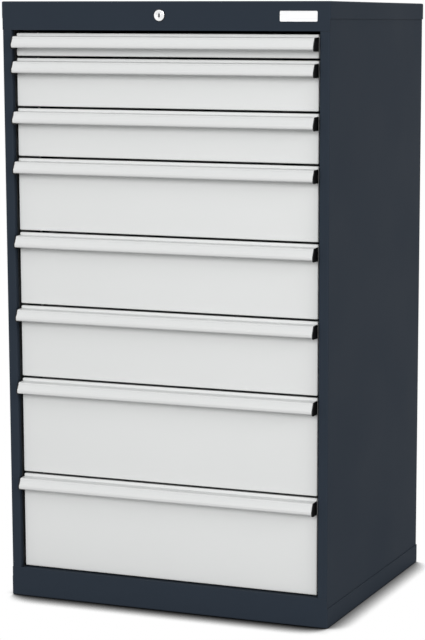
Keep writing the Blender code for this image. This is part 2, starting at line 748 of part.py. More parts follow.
def lock_cam(turning):
    """Lever on the rear end of the core, with the pin that drives the slide."""
    outline = arc((0, 0), CAM_HUB_RADIUS, 0, 180, ROUND_STEPS // 2)
    outline += arc((0, -CAM_THROW), CAM_TIP_RADIUS, 180, 360, ROUND_STEPS // 2)
    start = BARREL_LENGTH + SEAT
    rear = start + CAM_THICKNESS
    cam = profiles("lock_cam", [outline], "XZ", start, rear)
    pin_end = rear + SEAT + SLIDE_THICKNESS + CAM_PIN_END
    pin = rod("cam_pin", PIN_RADIUS, rear - CAM_THICKNESS / 2, pin_end, 0, -CAM_THROW)
    pin.parent = turning
    finish(join(cam, pin), "zinc_plate", turning)


def lock_slide(carriage):
    """Flat bar behind the top band: a window for the cam's pin and a slanted slot that lowers the bar."""
    low, high = LOCK_Z - SLIDE_HEIGHT / 2, LOCK_Z + SLIDE_HEIGHT / 2
    window_half = SLIDE_WINDOW_HALF_WIDTH
    window_low = LOCK_Z - CAM_THROW - window_half
    window_high = LOCK_Z + window_half
    left = BAR_PIN_X - SLIDE_TAIL
    wide_left, right = (LOCK_X + sign * (window_half + SLIDE_WINDOW_MARGIN) for sign in (-1, 1))
    foot = window_low - SLIDE_WINDOW_MARGIN
    outline = [(left, low), (wide_left, low), (wide_left, foot)]
    outline += [(right, foot), (right, high), (left, high)]
    slide = profiles("lock_slide", [outline], "XZ", SLIDE_FRONT, SLIDE_FRONT + SLIDE_THICKNESS)
    front, rear = SLIDE_FRONT - OVERRUN, SLIDE_FRONT + SLIDE_THICKNESS + OVERRUN
    corners = ((LOCK_X - window_half, front, window_low), (LOCK_X + window_half, rear, window_high))
    cut(slide, boxes("slide_window", [corners]))
    radius = PIN_RADIUS + SLIDE_PIN_CLEARANCE
    start, end = (BAR_PIN_X, BAR_PIN_Z), (BAR_PIN_X + CAM_THROW, BAR_PIN_Z - BAR_DROP)
    slant = math.degrees(math.atan2(end[1] - start[1], end[0] - start[0]))
    steps = ROUND_STEPS // 2
    slot = arc(start, radius, slant + 90, slant + 270, steps)
    slot += arc(end, radius, slant - 90, slant + 90, steps)
    cut(slide, profiles("slide_slot", [slot], "XZ", front, rear))
    finish(slide, "zinc_plate", carriage)


def slide_guides(housing):
    """Straps on the back of the top band that the slide runs through."""
    window_low, window_high = (LOCK_Z + sign * (SLIDE_HEIGHT / 2 + SEAT) for sign in (-1, 1))
    front = FRONT + SHEET + SEAT
    window_rear = SLIDE_FRONT + SLIDE_THICKNESS + SEAT
    for name, share in zip(("slide_guide_left", "slide_guide_right"), GUIDE_PLACE_SHARES):
        x = BAR_PIN_X + share * (LOCK_X - BAR_PIN_X)
        left, right = x - GUIDE_WIDTH / 2, x + GUIDE_WIDTH / 2
        low = (left, front, window_low - GUIDE_SHEET)
        strap = boxes(name, [(low, (right, window_rear + GUIDE_SHEET, window_high + GUIDE_SHEET))])
        low = (left - OVERRUN, front + GUIDE_SHEET, window_low)
        cut(strap, boxes(name + "_window", [(low, (right + OVERRUN, window_rear, window_high))]))
        finish(strap, "zinc_plate", housing)


def locking_bar(carriage):
    """Flat bar behind the left front post: a finger over each drawer's ear and an arm to the slide."""
    a, b = side_span(-1, BAR_INSET, BAR_INSET + BAR_THICKNESS)
    arm_low, arm_high = BAR_PIN_Z - BAR_DROP, BAR_PIN_Z + BAR_DROP
    low, high = (a, BAR_FRONT, LINES[-1] + BAR_FOOT), (b, BAR_FRONT + BAR_DEPTH, arm_high)
    bar = boxes("locking_bar", [(low, high)])
    middle = (a + b) / 2
    finger_end = TRAY_SHEET + FINGER_PAST_EAR - TRAY_HALF
    fingers = []
    for line in LINES[:-1]:
        low = (middle, FINGER_REAR - FINGER_LENGTH, line)
        fingers.append((low, (finger_end, FINGER_REAR, line + BAR_THICKNESS)))
    join(bar, boxes("bar_fingers", fingers))
    arm_front = BAR_FRONT + ARM_SETBACK
    arm_rear = arm_front + BAR_THICKNESS
    arm = ((middle, arm_front, arm_low), (BAR_PIN_X + ARM_PAST_PIN, arm_rear, arm_high - ARM_SETBACK))
    join(bar, boxes("bar_arm", [arm]))
    pin_front = SLIDE_FRONT - BAR_PIN_END
    join(bar, rod("bar_pin", PIN_RADIUS, pin_front, arm_rear - BAR_THICKNESS / 2, BAR_PIN_X, BAR_PIN_Z))
    finish(bar, "zinc_plate", carriage)


def main():
    clear_scene()
    for name in (PARTS, CUTTERS):
        new_collection(name)
    material("anthracite_paint", (0.030, 0.038, 0.052), 0.45, 0.0)
    material("light_grey_paint", (0.68, 0.70, 0.69), 0.40, 0.0)
    material("handle_profile", (0.72, 0.74, 0.73), 0.35, 0.2)
    material("tray_paint", (0.60, 0.62, 0.61), 0.45, 0.0)
    material("zinc_plate", (0.55, 0.56, 0.57), 0.38, 0.9)
    material("rail_zinc", (0.58, 0.60, 0.62), 0.35, 0.9)
    material("chrome", (0.78, 0.79, 0.80), 0.15, 1.0)
    housing = empty("housing")
    base_plinth(housing)
    bottom_panel(housing)
    side_panel("side_panel_left", -1, housing)
    side_panel("side_panel_right", 1, housing)
    back_panel(housing)
    top_cover(housing)
    runner_frame("runner_frame_left", -1, housing)
    runner_frame("runner_frame_right", 1, housing)
    drawers()
    lock_body(housing)
    turning = empty("lock_axis", (LOCK_X, FRONT, LOCK_Z))
    lock_core(turning)
    lock_cam(turning)
    slide_guides(housing)
    lock_slide(empty("slide_carriage"))
    locking_bar(empty("bar_carriage"))


main()
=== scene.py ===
import json
import math

import bmesh
import bpy
from mathutils import Matrix, Vector

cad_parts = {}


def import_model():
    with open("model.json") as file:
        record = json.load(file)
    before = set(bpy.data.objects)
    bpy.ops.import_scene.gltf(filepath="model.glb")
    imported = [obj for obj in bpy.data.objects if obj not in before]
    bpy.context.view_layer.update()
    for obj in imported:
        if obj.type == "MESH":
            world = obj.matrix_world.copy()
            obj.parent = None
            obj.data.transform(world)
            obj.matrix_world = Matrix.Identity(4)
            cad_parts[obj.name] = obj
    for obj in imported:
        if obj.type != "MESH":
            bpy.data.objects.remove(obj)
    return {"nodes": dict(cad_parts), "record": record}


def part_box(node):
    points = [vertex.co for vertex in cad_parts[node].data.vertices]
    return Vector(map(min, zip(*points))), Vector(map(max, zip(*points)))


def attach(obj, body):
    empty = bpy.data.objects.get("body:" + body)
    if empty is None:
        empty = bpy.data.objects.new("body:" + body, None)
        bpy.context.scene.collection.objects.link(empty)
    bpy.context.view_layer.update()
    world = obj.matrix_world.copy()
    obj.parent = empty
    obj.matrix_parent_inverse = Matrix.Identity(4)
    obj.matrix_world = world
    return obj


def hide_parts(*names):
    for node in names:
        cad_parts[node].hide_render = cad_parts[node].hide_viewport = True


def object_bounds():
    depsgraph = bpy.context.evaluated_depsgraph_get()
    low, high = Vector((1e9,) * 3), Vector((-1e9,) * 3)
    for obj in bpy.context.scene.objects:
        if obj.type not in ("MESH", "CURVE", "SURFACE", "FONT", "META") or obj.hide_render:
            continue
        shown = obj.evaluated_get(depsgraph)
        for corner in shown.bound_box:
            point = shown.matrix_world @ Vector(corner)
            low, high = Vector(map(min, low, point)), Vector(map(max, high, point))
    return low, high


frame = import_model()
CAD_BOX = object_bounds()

# Camera
CAMERA_PLACE = (1.7516, -4.0793, 1.1823)
CAMERA_AZIMUTH, CAMERA_ELEVATION, CAMERA_ROLL = 21.1663, 9.1186, 0.1508  # degrees
CAMERA_LENS = 119.52
CAMERA_SHIFT = (-0.1281, 0.0663)
CAMERA_CLIP = (0.1, 60.0)

# Light
WHITE = (1, 1, 1, 1)
WORLD_LEVEL = 0.70
LAMP_AIM = (0.0, -0.25, 0.60)
KEY_PLACE, KEY_SIZE, KEY_POWER = (0.6, -12.0, 5.2), 5.2, 660.0
FILL_PLACE, FILL_SIZE, FILL_POWER = (9.0, -3.5, 4.0), 4.0, 170.0  # lights the right-hand side

# Floor
FLOOR_HALF = 8.0
FLOOR_COLOUR = (0.50, 0.50, 0.50, 1)
CONTACT_REACH = 0.087  # how far from the cabinet the floor darkens
CONTACT_LEAN = 0.24  # more shadow at the front than at the rear
CONTACT_SIDES = (-0.42, 0.085)  # less at both sides, and least at the left
CONTACT_DARK, CONTACT_CLEAR = 0.346, 0.822  # openness that shows black, and white
CONTACT_CURVE = 2.63
CONTACT_SAMPLES = 32

# Handle profile: reach out from the front's face, drop down from the profile's top
SEAT = 0.0003  # gap between pieces that rest on each other
CORNER_REACH = 0.0188
CORNER_DROP = 0.0011
CORNER_RADIUS = 0.0027
BELLY_DROP = 0.0165  # where the slanted face turns upright
BELLY_RADIUS = 0.0050
LIP_DROP = 0.0236
LIP_RADIUS = 0.0058
LIP_DEPTH = 0.007
WALL = 0.0020
FLANGE_DROP = 0.0210
EDGE_RADIUS = 0.0004
LABEL_TOP = 0.0038  # along the slanted face, from its upper corner
LABEL_FOOT = 0.0138
LABEL_LIP = 0.0005  # groove's mouth lies under this much of the face
LABEL_UNDERCUT = 0.0008
LABEL_GROOVE = 0.0011
CAP = 0.0020
CAP_PROUD = 0.0002
CAP_FOOT_DROP = 0.0266
CAP_FOOT_RADIUS = 0.005
CAP_EDGE, CAP_EDGE_STEPS = 0.0005, 3
ARC_STEPS = 8

# Drawer fronts
DRAWERS = 8
FRONT_RADIUS = 0.0025
FRONT_SHEET = 0.0012
FRONT_RETURN = 0.024
FOLD_STEPS = 5

# Badge plate on the top band, bare
BADGE_LEFT, BADGE_RIGHT = 0.2482, 0.3246
BADGE_FOOT, BADGE_TOP = 1.1819, 1.2020
BADGE_THICK = 0.0012
BADGE_RADIUS = 0.0022
BADGE_RIM = 0.0011
BADGE_DISH = 0.0004

# Lock: radii about its axis, and lengths along it
GASKET_RADIUS = 0.0120
GASKET_PROUD = 0.0009
GASKET_ROUND = 0.0003
GASKET_STRAIGHT = 0.6  # share of its height below the rounding
DISC_RADIUS = 0.0110
DISC_SHOULDER = 0.0102
DISC_DISH = 0.0066
DISC_EDGE_DROP = 0.0009  # outer edge behind the face
DISC_ROUND, DISC_ROUND_DROP = 0.0004, 0.0002
DISH_SLOPE, DISH_DEPTH = 0.0012, 0.0004
BARREL_SHARE = 0.75  # barrel's radius, of the CAD escutcheon's
LOCK_CLEARANCE = 0.0001
KEY_HALF_WIDTH = 0.0016
KEY_HALF_HEIGHT = 0.00375
KEY_DEPTH = 0.008
CORE_EDGE = 0.0003
LOCK_STEPS = 96

# Small parts
RIVET_RADIUS = 0.0032
RIVET_PROUD = 0.0012
RIVET_STEPS = 20
RIVET_DOME = ((1.0, 0.0), (0.97, 0.35), (0.80, 0.75), (0.50, 0.95), (0.15, 1.0))  # shares
RIVET_INSET = 0.011  # rear flange's outer edge to the rivets
RIVET_PLACES = (0.105, 0.300, 0.495, 0.690, 0.885, 1.080)  # heights
NODE_EDGE = 0.0004  # rounding of the CAD nodes' edges

# Meshes
SHARP_ANGLE = math.radians(32)  # edges that turn by less are smooth
EASE_STEPS = 2
SMALLEST = 0.000001  # lengths below this count as none
MOST_OF_SIDE = 0.49  # an arc takes no more of each side of its corner

# Sockets of a colour mix
MIX_SHARE, MIX_FIRST, MIX_SECOND = 0, 6, 7
MIX_RESULT = 2

# Surface effects: each noise is a scale and a detail, each range becomes a mask from 0 to 1
BEVEL_SAMPLES = 6
SPECK_FINER, SPECK_DETAIL, SPECK_SHARE = 3.3, 1.0, 0.3
MOTTLE_NOISE, MOTTLE_RANGE = (5.0, 4.0), (0.3, 0.7)
FOLD_TURN = (0.995, 0.80)  # cosine of the turn away from the flat face
FOLD_BREAK_NOISE, FOLD_BREAK_RANGE = (38.0, 4.0), (0.25, 0.65)
FOLD_LEAST = 0.45
DUST_SLOPE = (0.3, 0.9)
DUST_NOISE, DUST_RANGE = (3.0, 8.0), (0.20, 0.90)
GRAIN_NOISE, GRAIN_RANGE = (1.0, 3.0), (0.35, 0.65)
SCRATCH_TURN, SCRATCH_STRETCH = (0.6, 0.9, 0.4), (1.0, 26.0, 26.0)
SCRATCH_NOISE, SCRATCH_RANGE = (42.0, 1.0), (0.66, 0.70)
SCRATCH_PATCH_NOISE, SCRATCH_PATCH_RANGE = (14.0, 2.0), (0.55, 0.70)

# Powder coats: fold is the radius of the painted highlight along an edge, drift the slow change of
# tone
PEEL_DEPTH, PEEL_STRENGTH = 0.00004, 0.5
PAINT_ROUGH_SWING = 0.04
DUST_COLOUR, DUST_AMOUNT, DUST_ROUGH = (0.42, 0.42, 0.40), 0.035, 0.5
PAINTS = {
    "anthracite_paint": {
        "colour": (0.0252, 0.0340, 0.0472),
        "edge_highlight_colour": (0.038, 0.048, 0.062),
        "rough": 0.66,
        "specular": 0.05,
        "fineness": 620.0,
        "fold": 0.0020,
        "drift": 0.06,
    },
    "light_grey_paint": {
        "colour": (0.722, 0.732, 0.728),
        "edge_highlight_colour": (0.85, 0.86, 0.855),
        "rough": 0.46,
        "specular": 0.34,
        "fineness": 620.0,
        "fold": 0.0022,
        "drift": 0.012,
    },
    "tray_paint": {
        "colour": (0.600, 0.620, 0.610),
        "edge_highlight_colour": (0.68, 0.69, 0.68),
        "rough": 0.48,
        "specular": 0.35,
        "fineness": 560.0,
        "fold": 0.0010,
        "drift": 0.02,
    },
}

# Metals: stretch is the fineness of the grain along x, y and z
METAL_SPECULAR = 0.5
METAL_FOLD, METAL_EASE = 0.0008, 0.0004
METAL_SCRATCHES = 0.6
METAL_BRIGHTER = 1.2  # edges and scratches against the rest
GRAIN_STRENGTH = 0.4
GRAIN_ROUGHER, GRAIN_SMOOTHER = 0.07, 0.05
METALS = {
    "handle_profile": {
        "colour": (0.672, 0.679, 0.677),
        "dark": (0.652, 0.659, 0.657),
        "metallic": 0.10,
        "rough": 0.38,
        "stretch": (3.0, 900.0, 900.0),
        "depth": 0.00001,
    },
    # zinc_plate is near black, far darker than bare zinc: painted shade, so the runner frames seen
    # through the gaps round the fronts show as dark as shadow
    "zinc_plate": {
        "colour": (0.115, 0.120, 0.125),
        "dark": (0.080, 0.084, 0.088),
        "metallic": 0.6,
        "rough": 0.46,
        "stretch": (260.0, 260.0, 8.0),
        "depth": 0.00001,
    },
    "rail_zinc": {
        "colour": (0.60, 0.62, 0.64),
        "dark": (0.48, 0.50, 0.52),
        "metallic": 0.9,
        "rough": 0.34,
        "stretch": (300.0, 8.0, 300.0),
        "depth": 0.00001,
    },
    "chrome": {
        "colour": (0.90, 0.905, 0.91),
        "dark": (0.82, 0.825, 0.83),
        "metallic": 0.85,
        "rough": 0.20,
        "stretch": (90.0, 90.0, 90.0),
        "depth": 0.000004,
    },
    "badge_metal": {
        "colour": (0.90, 0.905, 0.91),
        "dark": (0.85, 0.855, 0.86),
        "metallic": 0.3,
        "rough": 0.32,
        "stretch": (6.0, 900.0, 900.0),
        "depth": 0.000006,
    },
}

# Plastics and rubber
PLASTIC_SPECULAR = 0.25
PLASTIC_FINENESS = 1400.0
PLASTIC_DEPTH, PLASTIC_STRENGTH = 0.00003, 0.4
PLASTIC_FOLD, PLASTIC_EASE = 0.0006, 0.0003
PLASTIC_PALER, PLASTIC_PALEST = 2.2, 0.8  # edges against the rest
PLASTIC_ROUGH_SWING = 0.05
PLASTICS = {
    "label_strip": {"colour": (0.68, 0.69, 0.688), "rough": 0.34},
    "gasket_rubber": {"colour": (0.006, 0.006, 0.007), "rough": 0.70},
    "cap_plastic": {"colour": (0.0035, 0.0035, 0.004), "rough": 0.55},
}


# Shader trees


class Tree:
    """Adds nodes to one node tree; an input is a value or the socket that feeds it."""

    def __init__(self, tree):
        self.tree = tree

    def add(self, kind, inputs=None, **settings):
        node = self.tree.nodes.new("ShaderNode" + kind)
        for name, value in settings.items():
            setattr(node, name, value)
        for key, value in (inputs or {}).items():
            self.feed(node.inputs[key], value)
        return node

    def feed(self, socket, value):
        if isinstance(value, bpy.types.NodeSocket):
            self.tree.links.new(value, socket)
        else:
            socket.default_value = value

    def math(self, operation, first, second=0.0, clamp=False):
        node = self.add("Math", {0: first, 1: second}, operation=operation, use_clamp=clamp)
        return node.outputs[0]

    def span(self, value, low, high, to_low=0.0, to_high=1.0):
        """A value mapped from one range to another, held inside it."""
        inputs = {0: value, 1: low, 2: high, 3: to_low, 4: to_high}
        return self.add("MapRange", inputs).outputs[0]

    def blend(self, share, first, second):
        node = self.add("Mix", data_type="RGBA")
        self.feed(node.inputs[MIX_SHARE], share)
        self.feed(node.inputs[MIX_FIRST], first)
        self.feed(node.inputs[MIX_SECOND], second)
        return node.outputs[MIX_RESULT]

    def place(self):
        return self.add("TexCoord").outputs["Object"]

    def noise(self, place, scale, detail=2.0):
        node = self.add("TexNoise", {"Vector": place, "Scale": scale, "Detail": detail})
        return node.outputs["Fac"]

    def bevel(self, radius):
        return self.add("Bevel", {"Radius": radius}, samples=BEVEL_SAMPLES).outputs[0]

    def effect(self, name, **inputs):
        node = self.add("Group", node_tree=bpy.data.node_groups[name])
        for key, value in inputs.items():
            self.feed(node.inputs[key], value)
        return node.outputs


def effect_group(name, inputs, outputs, output_kind="NodeSocketFloat"):
    """An empty node group with named sockets, and its two end nodes."""
    group = bpy.data.node_groups.new(name, "ShaderNodeTree")
    for socket, value in inputs.items():
        kind = "NodeSocketFloat" if isinstance(value, float) else "NodeSocketVector"
        made = group.interface.new_socket(socket, in_out="INPUT", socket_type=kind)
        made.default_value = value
    for socket in outputs:
        group.interface.new_socket(socket, in_out="OUTPUT", socket_type=output_kind)
    tree = Tree(group)
    start = group.nodes.new("NodeGroupInput")
    end = group.nodes.new("NodeGroupOutput")
    return tree, start.outputs, end.inputs


def sprayed_texture():
    """Orange peel of a powder coat: a height, and a soft mottle for colour and gloss."""
    inputs = {"Fineness": 500.0}
    tree, given, made = effect_group("sprayed_texture", inputs, ("Height", "Mottle"))
    place = tree.place()
    peel = tree.noise(place, given["Fineness"])
    finer = tree.math("MULTIPLY", given["Fineness"], SPECK_FINER)
    speck = tree.math("MULTIPLY", tree.noise(place, finer, SPECK_DETAIL), SPECK_SHARE)
    tree.feed(made["Height"], tree.math("ADD", peel, speck))
    tree.feed(made["Mottle"], tree.noise(place, *MOTTLE_NOISE))


def fold_edges():
    """A mask along folds and edges, broken up so that no edge is even; the finishes paint a
    highlight with it.
    """
    tree, given, made = effect_group("fold_edges", {"Radius": 0.002}, ("Edge",))
    rounded_normal = tree.bevel(given["Radius"])
    flat = tree.add("NewGeometry").outputs["Normal"]
    dot = tree.add("VectorMath", {0: rounded_normal, 1: flat}, operation="DOT_PRODUCT")
    turn = tree.span(dot.outputs["Value"], *FOLD_TURN)
    breaks = tree.noise(tree.place(), *FOLD_BREAK_NOISE)
    broken = tree.span(breaks, *FOLD_BREAK_RANGE, FOLD_LEAST, 1.0)
    tree.feed(made["Edge"], tree.math("MULTIPLY", turn, broken))


def eased_edges():
    """A normal that lets a sharp edge catch the light as a rounded one does."""
    inputs, kind = {"Radius": 0.001}, "NodeSocketVector"
    tree, given, made = effect_group("eased_edges", inputs, ("Normal",), kind)
    tree.feed(made["Normal"], tree.bevel(given["Radius"]))


def settled_dust():
    """A mask on faces that look up, patchy as dust is."""
    tree, given, made = effect_group("settled_dust", {"Amount": 0.3}, ("Dust",))
    normal = tree.add("NewGeometry").outputs["Normal"]
    up = tree.span(tree.add("SeparateXYZ", {0: normal}).outputs["Z"], *DUST_SLOPE)
    patches = tree.span(tree.noise(tree.place(), *DUST_NOISE), *DUST_RANGE)
    dust = tree.math("MULTIPLY", up, patches)
    tree.feed(made["Dust"], tree.math("MULTIPLY", dust, given["Amount"]))


def drawn_grain():
    """Fine lines left along one direction by drawing or rolling: a height and a streak mask."""
    inputs = {"Stretch": (3.0, 400.0, 400.0)}
    tree, given, made = effect_group("drawn_grain", inputs, ("Height", "Streak"))
    stretch = {0: tree.place(), 1: given["Stretch"]}
    place = tree.add("VectorMath", stretch, operation="MULTIPLY").outputs[0]
    lines = tree.noise(place, *GRAIN_NOISE)
    tree.feed(made["Height"], lines)
    tree.feed(made["Streak"], tree.span(lines, *GRAIN_RANGE))


def fine_scratches():
    """Sparse short scratches, as handling and sliding leave."""
    tree, given, made = effect_group("fine_scratches", {"Amount": 0.5}, ("Scratch",))
    place = tree.place()
    turn = {"Vector": place, "Rotation": SCRATCH_TURN, "Scale": SCRATCH_STRETCH}
    lengthwise = tree.add("Mapping", turn).outputs[0]
    lines = tree.span(tree.noise(lengthwise, *SCRATCH_NOISE), *SCRATCH_RANGE)
    where = tree.span(tree.noise(place, *SCRATCH_PATCH_NOISE), *SCRATCH_PATCH_RANGE)
    scratch = tree.math("MULTIPLY", lines, where)
    tree.feed(made["Scratch"], tree.math("MULTIPLY", scratch, given["Amount"]))


def effects():
    """All node groups, before the materials that hold them."""
    sprayed_texture()
    fold_edges()
    eased_edges()
    settled_dust()
    drawn_grain()
    fine_scratches()


# Finishes


def shader(name, metallic, specular):
    """A material with a bare Principled shader and the settings that are the same all over."""
    made = bpy.data.materials.new(name)
    made.use_nodes = True
    principled = made.node_tree.nodes["Principled BSDF"]
    principled.inputs["Metallic"].default_value = metallic
    principled.inputs["Specular IOR Level"].default_value = specular
    return made, Tree(made.node_tree), principled.inputs


def bump(tree, height, strength, depth, edge):
    """A rough or grained surface whose edges also catch light as if rounded."""
    eased = tree.effect("eased_edges", Radius=edge)["Normal"]
    inputs = {"Strength": strength, "Distance": depth, "Height": height, "Normal": eased}
    return tree.add("Bump", inputs).outputs[0]


def powder_coat(name, colour, edge_highlight_colour, rough, specular, fineness, fold, drift):
    """Sprayed and baked paint: orange peel, a slow drift of tone, and a painted highlight along
    folds and edges.
    """
    made, tree, inputs = shader(name, 0.0, specular)
    coat = tree.effect("sprayed_texture", Fineness=fineness)
    edge = tree.effect("fold_edges", Radius=fold)["Edge"]
    dust = tree.effect("settled_dust", Amount=DUST_AMOUNT)["Dust"]
    deep = tuple(channel * (1 - drift) for channel in colour)
    tone = tree.blend(tree.span(coat["Mottle"], *MOTTLE_RANGE), (*deep, 1), (*colour, 1))
    # painted highlight: folds and edges take a lighter colour, where light would catch them
    brightened = tree.blend(edge, tone, (*edge_highlight_colour, 1))
    tree.feed(inputs["Base Color"], tree.blend(dust, brightened, (*DUST_COLOUR, 1)))
    swing = rough - PAINT_ROUGH_SWING, rough + PAINT_ROUGH_SWING
    gloss = tree.span(coat["Mottle"], *MOTTLE_RANGE, *swing)
    dulled = tree.math("ADD", gloss, tree.math("MULTIPLY", dust, DUST_ROUGH))
    tree.feed(inputs["Roughness"], dulled)
    normal = bump(tree, coat["Height"], PEEL_STRENGTH, PEEL_DEPTH, fold / 2)
    tree.feed(inputs["Normal"], normal)
    return made


def drawn_metal(name, colour, dark, metallic, rough, stretch, depth):
    """Rolled or drawn metal with its lines, fine scratches and a painted highlight along its edges.
    """
    made, tree, inputs = shader(name, metallic, METAL_SPECULAR)
    grain = tree.effect("drawn_grain", Stretch=stretch)
    edge = tree.effect("fold_edges", Radius=METAL_FOLD)["Edge"]
    scratch = tree.effect("fine_scratches", Amount=METAL_SCRATCHES)["Scratch"]
    lines = tree.blend(grain["Streak"], (*dark, 1), (*colour, 1))
    bright = tuple(min(1.0, channel * METAL_BRIGHTER) for channel in colour)
    # painted highlight on the edges, and real wear in the scratches, both lighter
    brightened = tree.math("MAXIMUM", edge, scratch)
    tree.feed(inputs["Base Color"], tree.blend(brightened, lines, (*bright, 1)))
    swing = rough + GRAIN_ROUGHER, rough - GRAIN_SMOOTHER
    tree.feed(inputs["Roughness"], tree.span(grain["Streak"], 0.0, 1.0, *swing))
    normal = bump(tree, grain["Height"], GRAIN_STRENGTH, depth, METAL_EASE)
    tree.feed(inputs["Normal"], normal)
    return made


def moulded_plastic(name, colour, rough):
    """Finely textured plastic or rubber with a painted highlight along its edges."""
    made, tree, inputs = shader(name, 0.0, PLASTIC_SPECULAR)
    surface = tree.effect("sprayed_texture", Fineness=PLASTIC_FINENESS)
    edge = tree.effect("fold_edges", Radius=PLASTIC_FOLD)["Edge"]
    pale = tuple(min(PLASTIC_PALEST, channel * PLASTIC_PALER) for channel in colour)
    # painted highlight: edges paler in colour
    tree.feed(inputs["Base Color"], tree.blend(edge, (*colour, 1), (*pale, 1)))
    swing = rough - PLASTIC_ROUGH_SWING, rough + PLASTIC_ROUGH_SWING
    tree.feed(inputs["Roughness"], tree.span(surface["Mottle"], *MOTTLE_RANGE, *swing))
    normal = bump(tree, surface["Height"], PLASTIC_STRENGTH, PLASTIC_DEPTH, PLASTIC_EASE)
    tree.feed(inputs["Normal"], normal)
    return made


def finishes():
    """One material for each slot of the record, and for the pieces that only this scene has."""
    made = {}
    kinds = ((powder_coat, PAINTS), (drawn_metal, METALS), (moulded_plastic, PLASTICS))
    for make, table in kinds:
        for name, settings in table.items():
            made[name] = make(name, **settings)
    return made


# Piece helpers


def place_mesh(form, name, finish, body, cad_nodes=(), inside=None):
    """Makes a piece that rides on a body, has a slot's finish and stands for CAD nodes."""
    bmesh.ops.recalc_face_normals(form, faces=form.faces)
    mesh = bpy.data.meshes.new(name)
    form.to_mesh(mesh)
    form.free()
    mesh.materials.append(finish)
    if inside:
        mesh.materials.append(inside)
    mesh.shade_smooth()
    mesh.set_sharp_from_angle(angle=SHARP_ANGLE)
    piece = bpy.data.objects.new(name, mesh)
    bpy.context.scene.collection.objects.link(piece)
    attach(piece, body)
    if cad_nodes:
        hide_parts(*cad_nodes)
    return piece


def rounded(corners):
    """A closed outline whose corners, given as (across, up, radius), become arcs."""
    outline = []
    for i, (across, up, radius) in enumerate(corners):
        corner = Vector((across, up))
        before = Vector(corners[i - 1][:2]) - corner
        after = Vector(corners[(i + 1) % len(corners)][:2]) - corner
        if radius <= 0:
            outline.append(corner)
            continue
        half = before.angle(after) / 2
        longest = MOST_OF_SIDE * min(before.length, after.length)
        reach = min(radius / math.tan(half), longest)
        start = corner + before.normalized() * reach
        end = corner + after.normalized() * reach
        bisector = (before.normalized() + after.normalized()).normalized()
        centre = corner + bisector * (reach / math.cos(half))
        first, last = start - centre, end - centre
        turn = first.angle_signed(last)
        for step in range(ARC_STEPS + 1):
            spoke = first.copy()
            spoke.rotate(Matrix.Rotation(-turn * step / ARC_STEPS, 2))
            outline.append(centre + spoke)
    return outline


def prism(form, outline, axis, start, end):
    """A closed outline run along an axis between two places, with its ends closed."""
    def at(point, along):
        place = [point[0], point[1]]
        place.insert(axis, along)
        return place

    near = [form.verts.new(at(point, start)) for point in outline]
    far = [form.verts.new(at(point, end)) for point in outline]
    form.faces.new(near)
    form.faces.new(far[::-1])
    for i in range(len(outline)):
        j = (i + 1) % len(outline)
        form.faces.new((near[j], near[i], far[i], far[j]))


def skin(form, rings, closed=True):
    """Joins rings of equally many points one to the next; closed adds a face at each end."""
    loops = [[form.verts.new(place) for place in ring] for ring in rings]
    for near, far in zip(loops, loops[1:]):
        for i in range(len(near)):
            j = (i + 1) % len(near)
            form.faces.new((near[i], near[j], far[j], far[i]))
    if closed:
        form.faces.new(loops[0][::-1])
        form.faces.new(loops[-1])
    else:
        bmesh.ops.remove_doubles(form, verts=form.verts, dist=SMALLEST)


def round_off(form, edges, radius, steps, clamped):
    """Rounds edges of a form in the making; clamped keeps the arcs from meeting."""
    bmesh.ops.bevel(
        form,
        geom=edges,
        offset=radius,
        segments=steps,
        affect="EDGES",
        profile=0.5,
        clamp_overlap=clamped,
    )


def ease(piece, width):
    """Rounds the sharp edges of a piece."""
    edges = piece.modifiers.new("eased_edges", "BEVEL")
    edges.width = width
    edges.segments = EASE_STEPS
    edges.limit_method = "ANGLE"
    edges.angle_limit = SHARP_ANGLE
    edges.use_clamp_overlap = True


# Drawers


def inset(path, depth):
    """The path moved inwards by a wall's thickness, with its corners kept."""
    steps = [(after - before).normalized() for before, after in zip(path, path[1:])]
    moved = []
    for point, before, after in zip(path, [steps[0]] + steps, steps + [steps[-1]]):
        across = Vector((-before.y - after.y, before.x + after.x))
        moved.append(point + across * 2 * depth / across.length_squared)
    return moved


class HandleFrame:
    """Places on a handle: reach out from the front's face and drop from the top of the profile."""

    def __init__(self, number):
        low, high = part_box("drawer_%d_handle" % number)
        self.left, self.right = low.x, high.x
        self.face = high.y + SEAT
        self.top = high.z - CAP_PROUD
        self.reach = self.face - low.y - CAP_PROUD

    def place(self, outline):
        """Points of reach and drop as places along y and z."""
        return [Vector((self.face - reach, self.top - drop)) for reach, drop in outline]

    def on_face(self, along, deep):
        """A place on the slanted face: along it from its upper corner, and into the metal."""
        start = Vector((CORNER_REACH, CORNER_DROP))
        way = (Vector((self.reach, BELLY_DROP)) - start).normalized()
        spot = start + way * along + Vector((-way.y, way.x)) * deep
        return (spot.x, spot.y, 0)

    def upper(self):
        return [(SEAT, FLANGE_DROP, 0), (SEAT, 0, 0), (CORNER_REACH, CORNER_DROP, CORNER_RADIUS)]

    def lower(self):
        return [
            (self.reach, BELLY_DROP, BELLY_RADIUS),
            (self.reach, LIP_DROP, LIP_RADIUS),
            (self.reach - LIP_DEPTH, LIP_DROP, 0),
        ]


